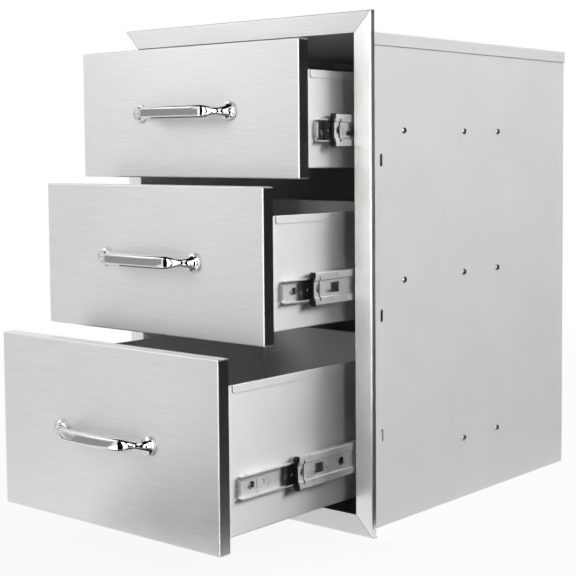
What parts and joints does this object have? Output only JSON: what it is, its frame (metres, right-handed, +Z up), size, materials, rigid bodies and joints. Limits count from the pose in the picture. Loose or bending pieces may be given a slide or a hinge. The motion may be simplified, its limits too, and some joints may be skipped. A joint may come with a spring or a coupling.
{
  "type": "outdoor kitchen drawer unit",
  "caption": "Built-in outdoor kitchen cabinet whose drawers slide out of a mitred face frame on telescopic ball-bearing rails, each with a bow pull.",
  "frame": {"origin": "middle of the cabinet's underside, half way between the face frame's front and the cabinet's back", "axes": "+X to the right of someone who faces the drawers, +Y from front to back, +Z up"},
  "size_m": [0.355, 0.6264, 0.525],
  "materials": {
    "brushed_stainless": "fine horizontal grain",
    "cabinet_steel": "mill finish, matt",
    "tub_steel": "bright rolled",
    "zinc_plated_steel": "bright zinc plate",
    "cage_steel": "plain steel with bearing balls",
    "rivet_steel": "bright domed heads",
    "screw_steel": "nickel plated",
    "polished_chrome": "polished casting",
    "black_nylon": "moulded"
  },
  "bodies": {
    "cabinet": {"frame_top_rail": "brushed_stainless", "frame_bottom_rail": "brushed_stainless", "frame_left_stile": "brushed_stainless", "frame_right_stile": "brushed_stainless", "left_side_panel": "cabinet_steel", "right_side_panel": "cabinet_steel", "top_cover": "cabinet_steel", "bottom_panel": "cabinet_steel", "back_panel": "cabinet_steel", "cover_rivets": "cabinet_steel", "slide_rivets": "rivet_steel", "outer_rail_left_bottom": "zinc_plated_steel", "outer_rail_right_bottom": "zinc_plated_steel", "outer_rail_left_middle": "zinc_plated_steel", "outer_rail_right_middle": "zinc_plated_steel", "outer_rail_left_top": "zinc_plated_steel", "outer_rail_right_top": "zinc_plated_steel"},
    "drawer_bottom": {"front_skin_bottom": "brushed_stainless", "front_liner_bottom": "cabinet_steel", "handle_bottom": "polished_chrome", "handle_screws_bottom": "screw_steel", "tub_bottom": "tub_steel", "tub_back_bottom": "tub_steel", "inner_rail_left_bottom": "zinc_plated_steel", "inner_rail_right_bottom": "zinc_plated_steel", "rail_screws_bottom": "screw_steel"},
    "middle_rails_bottom": {"middle_rail_left_bottom": "zinc_plated_steel", "middle_rail_right_bottom": "zinc_plated_steel", "rail_stops_bottom": "black_nylon"},
    "outer_cages_bottom": {"outer_ball_cages_bottom": "cage_steel"},
    "inner_cages_bottom": {"inner_ball_cages_bottom": "cage_steel"},
    "drawer_middle": {"front_skin_middle": "brushed_stainless", "front_liner_middle": "cabinet_steel", "handle_middle": "polished_chrome", "handle_screws_middle": "screw_steel", "tub_middle": "tub_steel", "tub_back_middle": "tub_steel", "inner_rail_left_middle": "zinc_plated_steel", "inner_rail_right_middle": "zinc_plated_steel", "rail_screws_middle": "screw_steel"},
    "middle_rails_middle": {"middle_rail_left_middle": "zinc_plated_steel", "middle_rail_right_middle": "zinc_plated_steel", "rail_stops_middle": "black_nylon"},
    "outer_cages_middle": {"outer_ball_cages_middle": "cage_steel"},
    "inner_cages_middle": {"inner_ball_cages_middle": "cage_steel"},
    "drawer_top": {"front_skin_top": "brushed_stainless", "front_liner_top": "cabinet_steel", "handle_top": "polished_chrome", "handle_screws_top": "screw_steel", "tub_top": "tub_steel", "tub_back_top": "tub_steel", "inner_rail_left_top": "zinc_plated_steel", "inner_rail_right_top": "zinc_plated_steel", "rail_screws_top": "screw_steel"},
    "middle_rails_top": {"middle_rail_left_top": "zinc_plated_steel", "middle_rail_right_top": "zinc_plated_steel", "rail_stops_top": "black_nylon"},
    "outer_cages_top": {"outer_ball_cages_top": "cage_steel"},
    "inner_cages_top": {"inner_ball_cages_top": "cage_steel"}
  },
  "joints": [
    {"name": "drawer_slide_bottom", "type": "slide", "parent": "cabinet", "child": "drawer_bottom", "axis": [0, -1, 0], "range_m": [-0.194, 0.146]},
    {"name": "middle_rails_slide_bottom", "type": "slide", "parent": "cabinet", "child": "middle_rails_bottom", "axis": [0, -1, 0], "range_m": [-0.11097, 0.08351]},
    {"name": "outer_cages_roll_bottom", "type": "slide", "parent": "cabinet", "child": "outer_cages_bottom", "axis": [0, -1, 0], "range_m": [-0.05548, 0.04176]},
    {"name": "inner_cages_roll_bottom", "type": "slide", "parent": "cabinet", "child": "inner_cages_bottom", "axis": [0, -1, 0], "range_m": [-0.15248, 0.11476]},
    {"name": "drawer_slide_middle", "type": "slide", "parent": "cabinet", "child": "drawer_middle", "axis": [0, -1, 0], "range_m": [-0.133, 0.207]},
    {"name": "middle_rails_slide_middle", "type": "slide", "parent": "cabinet", "child": "middle_rails_middle", "axis": [0, -1, 0], "range_m": [-0.08552, 0.1331]},
    {"name": "outer_cages_roll_middle", "type": "slide", "parent": "cabinet", "child": "outer_cages_middle", "axis": [0, -1, 0], "range_m": [-0.04276, 0.06655]},
    {"name": "inner_cages_roll_middle", "type": "slide", "parent": "cabinet", "child": "inner_cages_middle", "axis": [0, -1, 0], "range_m": [-0.10926, 0.17005]},
    {"name": "drawer_slide_top", "type": "slide", "parent": "cabinet", "child": "drawer_top", "axis": [0, -1, 0], "range_m": [-0.082, 0.258]},
    {"name": "middle_rails_slide_top", "type": "slide", "parent": "cabinet", "child": "middle_rails_top", "axis": [0, -1, 0], "range_m": [-0.0533, 0.1677]},
    {"name": "outer_cages_roll_top", "type": "slide", "parent": "cabinet", "child": "outer_cages_top", "axis": [0, -1, 0], "range_m": [-0.02665, 0.08385]},
    {"name": "inner_cages_roll_top", "type": "slide", "parent": "cabinet", "child": "inner_cages_top", "axis": [0, -1, 0], "range_m": [-0.06765, 0.21285]}
  ],
  "couplings": [
    {"joint": "middle_rails_slide_bottom", "follows": "drawer_slide_bottom", "ratio": 0.572},
    {"joint": "outer_cages_roll_bottom", "follows": "drawer_slide_bottom", "ratio": 0.286},
    {"joint": "inner_cages_roll_bottom", "follows": "drawer_slide_bottom", "ratio": 0.786},
    {"joint": "middle_rails_slide_middle", "follows": "drawer_slide_middle", "ratio": 0.643},
    {"joint": "outer_cages_roll_middle", "follows": "drawer_slide_middle", "ratio": 0.3215},
    {"joint": "inner_cages_roll_middle", "follows": "drawer_slide_middle", "ratio": 0.8215},
    {"joint": "middle_rails_slide_top", "follows": "drawer_slide_top", "ratio": 0.65},
    {"joint": "outer_cages_roll_top", "follows": "drawer_slide_top", "ratio": 0.325},
    {"joint": "inner_cages_roll_top", "follows": "drawer_slide_top", "ratio": 0.825}
  ]
}
